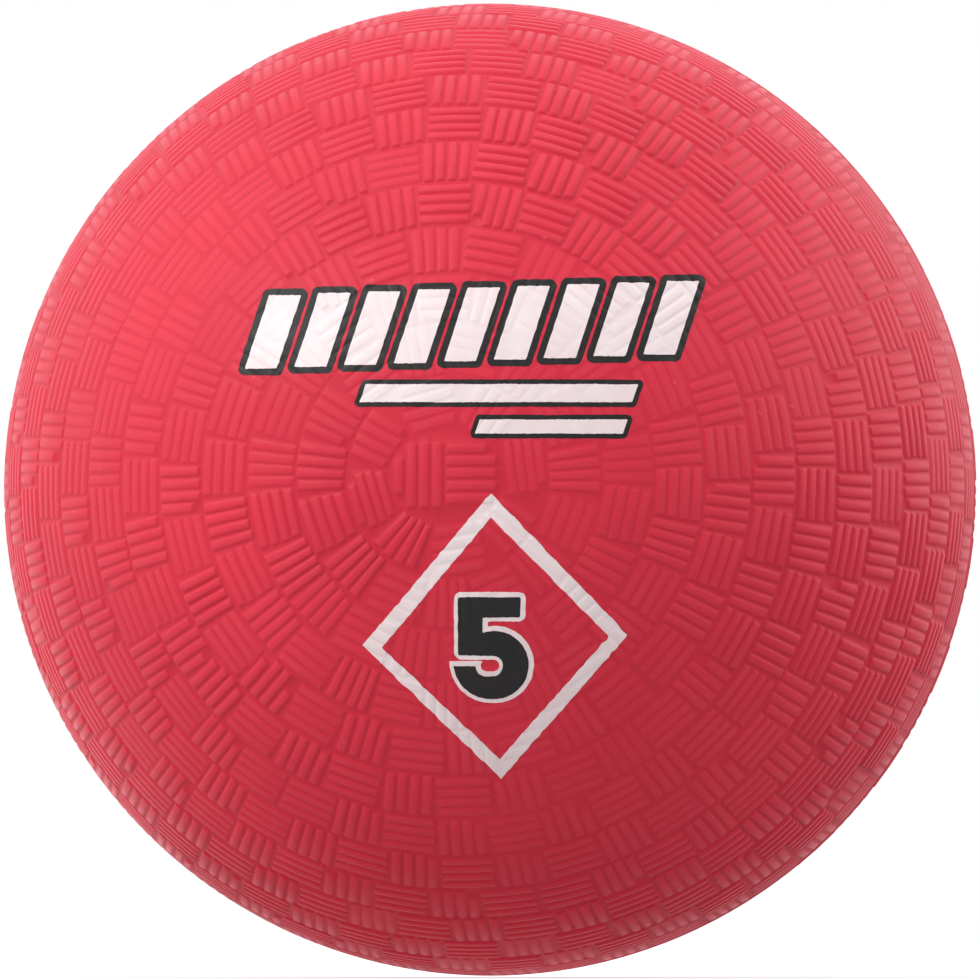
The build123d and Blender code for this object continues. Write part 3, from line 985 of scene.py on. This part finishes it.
# ------------------------------------------------------------------ shader nodes
class Net:
    """Short calls that add nodes to an emptied tree and return their output sockets."""

    def __init__(self, tree):
        self.tree = tree
        self.x = 0
        tree.nodes.clear()

    def node(self, kind, **props):
        node = self.tree.nodes.new(kind)
        node.location = (self.x, 0)
        self.x += 40
        for key, value in props.items():
            setattr(node, key, value)
        return node

    def put(self, socket, value):
        """Links value if it is a socket and sets it otherwise."""
        if hasattr(value, "is_linked"):
            self.tree.links.new(value, socket)
        else:
            socket.default_value = value

    def coords(self):
        return self.node("ShaderNodeTexCoord").outputs["Object"]

    def noise(self, where, scale, detail, rough):
        node = self.node("ShaderNodeTexNoise")
        self.put(node.inputs["Vector"], where)
        node.inputs["Scale"].default_value = scale
        node.inputs["Detail"].default_value = detail
        node.inputs["Roughness"].default_value = rough
        return node.outputs["Fac"]

    def ramp(self, value, span, to=(0.0, 1.0)):
        """Maps span onto to, clamped."""
        node = self.node("ShaderNodeMapRange", clamp=True)
        self.put(node.inputs["Value"], value)
        for name, number in zip(("From Min", "From Max", "To Min", "To Max"), span + to):
            node.inputs[name].default_value = number
        return node.outputs["Result"]

    def mix(self, share, a, b):
        """Colour a turning into b; each is a socket or an RGB tuple."""
        node = self.node("ShaderNodeMix", data_type="RGBA")
        self.put(node.inputs[0], share)
        for socket, value in ((node.inputs[6], a), (node.inputs[7], b)):
            self.put(socket, (*value, 1.0) if isinstance(value, tuple) else value)
        return node.outputs[2]

    def math(self, operation, a, b=0.0):
        node = self.node("ShaderNodeMath", operation=operation)
        self.put(node.inputs[0], a)
        self.put(node.inputs[1], b)
        return node.outputs[0]

    def bump(self, height, distance, strength, normal=None):
        node = self.node("ShaderNodeBump")
        node.inputs["Distance"].default_value = distance
        node.inputs["Strength"].default_value = strength
        self.put(node.inputs["Height"], height)
        if normal is not None:
            self.put(node.inputs["Normal"], normal)
        return node.outputs["Normal"]

    def surface(self, color, rough, normal, specular, sheen=None, tint=(1.0, 1.0, 1.0)):
        node = self.node("ShaderNodeBsdfPrincipled")
        self.put(node.inputs["Base Color"], color)
        self.put(node.inputs["Roughness"], rough)
        node.inputs["Specular IOR Level"].default_value = specular
        if sheen is not None:
            self.put(node.inputs["Sheen Weight"], sheen)
            node.inputs["Sheen Roughness"].default_value = 0.3
            node.inputs["Sheen Tint"].default_value = (*tint, 1.0)
        self.put(node.inputs["Normal"], normal)
        self.output("Material", node.outputs[0])

    def white_light(self, kind, strength):
        """White Emission or Background."""
        node = self.node("ShaderNode" + kind)
        node.inputs["Color"].default_value = (1, 1, 1, 1)
        self.put(node.inputs["Strength"], strength)
        return node.outputs[0]

    def diffuse(self, color):
        node = self.node("ShaderNodeBsdfDiffuse")
        self.put(node.inputs["Color"], color)
        return node.outputs[0]

    def both(self, a, b):
        node = self.node("ShaderNodeAddShader")
        self.put(node.inputs[0], a)
        self.put(node.inputs[1], b)
        return node.outputs[0]

    def by_ray(self, camera, other):
        """One shader for what the camera sees directly and another for all other rays."""
        path = self.node("ShaderNodeLightPath")
        node = self.node("ShaderNodeMixShader")
        self.put(node.inputs[0], path.outputs["Is Camera Ray"])
        self.put(node.inputs[1], other)
        self.put(node.inputs[2], camera)
        return node.outputs[0]

    def output(self, kind, shader):
        self.put(self.node("ShaderNodeOutput" + kind).inputs["Surface"], shader)


def new_material(name):
    material = bpy.data.materials.new(name)
    material.use_nodes = True
    return material, Net(material.node_tree)


# ------------------------------------------------------------------ materials
def cover_material():
    """Red rubber, darker in the grooves as painted shade, with a painted pale pink sheen on the
    crests.
    """
    material, net = new_material("red_cover_rubber")
    where = net.coords()
    rib = net.node("ShaderNodeAttribute", attribute_name="rib").outputs["Fac"]
    broad = net.noise(where, scale=38.0, detail=3.0, rough=0.55)
    patch = net.noise(where, scale=160.0, detail=3.0, rough=0.6)
    fine = net.noise(where, scale=1500.0, detail=2.0, rough=0.6)
    speck = net.noise(where, scale=900.0, detail=1.0, rough=0.4)
    base = net.mix(net.ramp(broad, span=(0.3, 0.7)),
                   a=(0.635, 0.0250, 0.054), b=(0.712, 0.0320, 0.064))
    base = net.mix(net.ramp(patch, span=(0.35, 0.75), to=(0.0, 0.35)),
                   a=base, b=(0.59, 0.0170, 0.043))
    # painted shade: the grooves are mixed towards a darker red, most at the floor, for the shade
    # that falls in them
    base = net.mix(net.ramp(rib, span=(0.0, 1.0), to=(0.22, 0.0)),
                   a=base, b=(0.46, 0.007, 0.021))
    # painted sheen: the crests are mixed towards a pale pink, in patches, for the sheen they catch
    painted_crest_sheen = net.math("MULTIPLY", net.ramp(patch, span=(0.45, 0.7)),
                     net.ramp(rib, span=(0.5, 1.0), to=(0.0, 0.055)))
    base = net.mix(painted_crest_sheen, a=base, b=(0.86, 0.22, 0.25))
    dust = net.ramp(speck, span=(0.79, 0.81), to=(0.0, 0.14))
    base = net.mix(dust, a=base, b=(0.85, 0.25, 0.27))
    rough = net.math("ADD", net.ramp(patch, span=(0.25, 0.75), to=(0.44, 0.54)),
                     net.ramp(fine, span=(0.3, 0.7), to=(-0.03, 0.03)))
    normal = net.bump(fine, distance=0.000035, strength=0.55)
    normal = net.bump(patch, distance=0.00022, strength=0.5, normal=normal)
    # the crests also catch a pale pink sheen at a grazing angle
    sheen = net.ramp(rib, span=(0.3, 1.0), to=(0.03, 0.69))
    net.surface(base, rough, normal, specular=0.22, sheen=sheen, tint=(1.0, 0.42, 0.48))
    return material


def ink_material(name, color, under, rough, specular):
    """Ink through which the colour under it shows in patches."""
    material, net = new_material(name)
    where = net.coords()
    patch = net.noise(where, scale=260.0, detail=3.0, rough=0.6)
    grain = net.noise(where, scale=1400.0, detail=2.0, rough=0.6)
    base = net.mix(net.ramp(patch, span=(0.35, 0.75), to=(0.0, 0.16)), a=color, b=under)
    base = net.mix(net.ramp(grain, span=(0.62, 0.75), to=(0.0, 0.22)), a=base, b=under)
    normal = net.bump(grain, distance=0.000025, strength=0.6)
    normal = net.bump(patch, distance=0.0001, strength=0.4, normal=normal)
    roughness = net.ramp(patch, span=(0.3, 0.7), to=(rough - 0.05, rough + 0.06))
    net.surface(base, roughness, normal, specular)
    return material


def rubber_material(name, color, dark, rough, grain_scale=900.0):
    """Mottled rubber with a paler grain."""
    material, net = new_material(name)
    where = net.coords()
    patch = net.noise(where, scale=90.0, detail=4.0, rough=0.6)
    grain = net.noise(where, scale=grain_scale, detail=3.0, rough=0.6)
    base = net.mix(net.ramp(patch, span=(0.3, 0.7)), a=dark, b=color)
    pale = tuple(min(1.0, q * 2.2 + 0.01) for q in color)
    base = net.mix(net.ramp(grain, span=(0.6, 0.8), to=(0.0, 0.25)), a=base, b=pale)
    normal = net.bump(grain, distance=0.00004, strength=0.6)
    normal = net.bump(patch, distance=0.0003, strength=0.4, normal=normal)
    roughness = net.ramp(patch, span=(0.3, 0.7), to=(rough - 0.06, rough + 0.08))
    net.surface(base, roughness, normal, specular=0.45)
    return material


def thread_material():
    """Nylon thread wound in crossing directions under rubber cement."""
    turns = ((0.3, 0.9, 0.1), (1.3, 0.2, 0.8), (2.2, 1.7, 0.5), (0.8, 2.6, 1.9))    # radians
    material, net = new_material("nylon_winding")
    where = net.coords()
    thread = None
    for turn in turns:
        mapping = net.node("ShaderNodeMapping")
        mapping.inputs["Rotation"].default_value = turn
        net.put(mapping.inputs["Vector"], where)
        wave = net.node("ShaderNodeTexWave", wave_type="BANDS", bands_direction="X")
        wave.inputs["Scale"].default_value = 260.0
        wave.inputs["Distortion"].default_value = 0.6
        net.put(wave.inputs["Vector"], mapping.outputs[0])
        bands = wave.outputs["Fac"]
        thread = bands if thread is None else net.math("MAXIMUM", thread, bands)
    base = net.mix(net.ramp(thread, span=(0.5, 1.0)), a=(0.34, 0.27, 0.19), b=(0.74, 0.70, 0.60))
    fibre = net.noise(where, scale=2600.0, detail=2.0, rough=0.6)
    normal = net.bump(thread, distance=0.00025, strength=0.9)
    normal = net.bump(fibre, distance=0.00003, strength=0.5, normal=normal)
    net.surface(base, rough=0.72, normal=normal, specular=0.4, sheen=0.15)
    return material


red = cover_material()
white = ink_material("white_ink", color=(0.86, 0.74, 0.75), under=(0.80, 0.42, 0.45),
                     rough=0.46, specular=0.5)
black = ink_material("black_ink", color=(0.010, 0.0105, 0.011), under=(0.045, 0.018, 0.020),
                     rough=0.48, specular=0.34)
# pieces that keep their CAD shape
node_materials = {
    "inner_ply_front": rubber_material(
        "tie_rubber", color=(0.30, 0.045, 0.05), dark=(0.22, 0.03, 0.035), rough=0.66),
    "winding": thread_material(),
    "valve_patch": rubber_material(
        "patch_rubber", color=(0.05, 0.047, 0.045), dark=(0.032, 0.03, 0.029), rough=0.62),
    "bladder": rubber_material(
        "butyl_bladder", color=(0.022, 0.022, 0.024), dark=(0.013, 0.013, 0.014), rough=0.50),
    "valve_housing": rubber_material(
        "valve_rubber", color=(0.030, 0.029, 0.029), dark=(0.019, 0.018, 0.018), rough=0.48,
        grain_scale=1600.0),
    "valve_core": rubber_material(
        "core_rubber", color=(0.060, 0.056, 0.053), dark=(0.042, 0.040, 0.038), rough=0.52,
        grain_scale=1600.0),
}
node_materials["inner_ply_back"] = node_materials["inner_ply_front"]

for pieces, ink_or_rubber in ((cover_objects, red), ((ink_diamond, ink_key, ink_dashes), white),
                              ((ink_numeral, ink_dash_key), black)):
    for piece in pieces:
        piece.data.materials.clear()
        piece.data.materials.append(ink_or_rubber)
for node_name, node_material in node_materials.items():
    piece = frame["nodes"][node_name]
    if len(piece.material_slots) == 0:
        piece.data.materials.append(node_material)
    for material_slot in piece.material_slots:
        material_slot.material = node_material


# ------------------------------------------------------------------ stage
FLOOR_HALF = 30.0          # metres
ROOM = 0.435               # even light from all round
# broad soft panels: (direction, falloff, strength)
PANELS = (
    ((1.0, 0.2, 0.1), 6, 0.98), ((-0.6, -0.5, 0.62), 80, 12.8), ((0.7, 0.1, 0.7), 6, 0.74),
    ((0.0, 0.0, 1.0), 6, 0.86), ((-0.8, 0.6, 0.2), 6, 0.672), ((-0.6, -0.5, 0.62), 6, 0.533),
    ((-1.0, 0.0, 0.2), 6, 0.42), ((-0.75, 0.0, 0.66), 6, 0.354), ((0.0, 1.0, 0.1), 6, 0.233),
    ((0.8, 0.6, 0.2), 6, 0.85), ((1.0, 0.0, 0.25), 6, 0.26), ((0.0, -0.7, 0.7), 30, 0.199),
    ((0.0, 0.7, 0.7), 6, 0.170), ((-0.8, -0.6, 0.1), 6, 0.126), ((-1.0, 0.0, 0.2), 30, 0.113),
    ((0.0, -0.7, 0.7), 6, 0.33), ((-0.8, -0.6, 0.1), 30, 0.063),
)


def floor_material():
    material, net = new_material("pale_floor")
    # to the camera: a lit white table with a faint contact shadow
    table = net.both(net.white_light("Emission", strength=0.56),
                     net.diffuse(color=(0.44, 0.435, 0.435, 1)))
    # to the ball: a grey table with a soft painted glow under it, and painted light that makes it
    # paler on the left (-X) so its bounce lights the ball more on that side
    place = net.node("ShaderNodeSeparateXYZ")
    net.put(place.inputs[0], net.coords())
    x, y = place.outputs["X"], place.outputs["Y"]
    radius = net.math("SQRT", net.math("ADD", net.math("MULTIPLY", x, x),
                                       net.math("MULTIPLY", y, y)))
    glow = net.ramp(radius, span=(0.012, 0.045), to=(0.45, 0.08))
    under = net.white_light("Emission", strength=glow)
    bounce = net.diffuse(color=net.ramp(x, span=(-0.12, 0.12), to=(0.62, 0.29)))
    net.output("Material", net.by_ray(camera=table, other=net.both(under, bounce)))
    return material


def make_floor():
    mesh = bpy.data.meshes.new("floor")
    s, z = FLOOR_HALF, -R_CREST * MM
    mesh.from_pydata([(-s, -s, z), (s, -s, z), (s, s, z), (-s, s, z)], [], [(0, 1, 2, 3)])
    floor = bpy.data.objects.new("floor", mesh)
    bpy.context.scene.collection.objects.link(floor)
    mesh.materials.append(floor_material())


def make_studio():
    """The world: the panels light the ball, and the camera sees plain white."""
    world = bpy.data.worlds.new("studio")
    bpy.context.scene.world = world
    world.use_nodes = True
    net = Net(world.node_tree)
    where = net.node("ShaderNodeTexCoord").outputs["Generated"]
    level = ROOM
    for aim, falloff, strength in PANELS:
        dot = net.node("ShaderNodeVectorMath", operation="DOT_PRODUCT")
        net.put(dot.inputs[0], where)
        dot.inputs[1].default_value = Vector(aim).normalized()
        lobe = net.math("POWER", net.math("MAXIMUM", dot.outputs["Value"], 0.0), falloff)
        level = net.math("ADD", net.math("MULTIPLY", lobe, strength), level)
    panels = net.white_light("Background", strength=level)
    backdrop = net.white_light("Background", strength=1.0)
    net.output("World", net.by_ray(camera=backdrop, other=panels))


def make_camera():
    """Framed so that the ball just fits the picture's width."""
    data = bpy.data.cameras.new("camera")
    data.type = "PERSP"
    data.sensor_width = 36.0
    radius = R_CREST * MM
    outline_tangent = radius / math.sqrt(CAM_DIST ** 2 - radius ** 2)
    data.lens = data.sensor_width / 2 / (outline_tangent * CAM_MARGIN)
    data.shift_y = CAM_SHIFT_Y
    data.clip_start, data.clip_end = 0.1, 100.0
    camera = bpy.data.objects.new("camera", data)
    bpy.context.scene.collection.objects.link(camera)
    camera.location = Vector(VIEW_BACK * CAM_DIST)
    camera.rotation_mode = "QUATERNION"
    camera.rotation_quaternion = Vector(-VIEW_BACK).to_track_quat("-Z", "Y")
    bpy.context.scene.camera = camera


for default_name in ("Cube", "Camera", "Light"):
    leftover = bpy.data.objects.get(default_name)
    if leftover is not None and leftover not in frame["nodes"].values():
        bpy.data.objects.remove(leftover, do_unlink=True)

make_floor()
make_studio()
view = bpy.context.scene.view_settings
view.view_transform = "Standard"
view.look = "None"
view.exposure = 0.0
view.gamma = 1.0
make_camera()
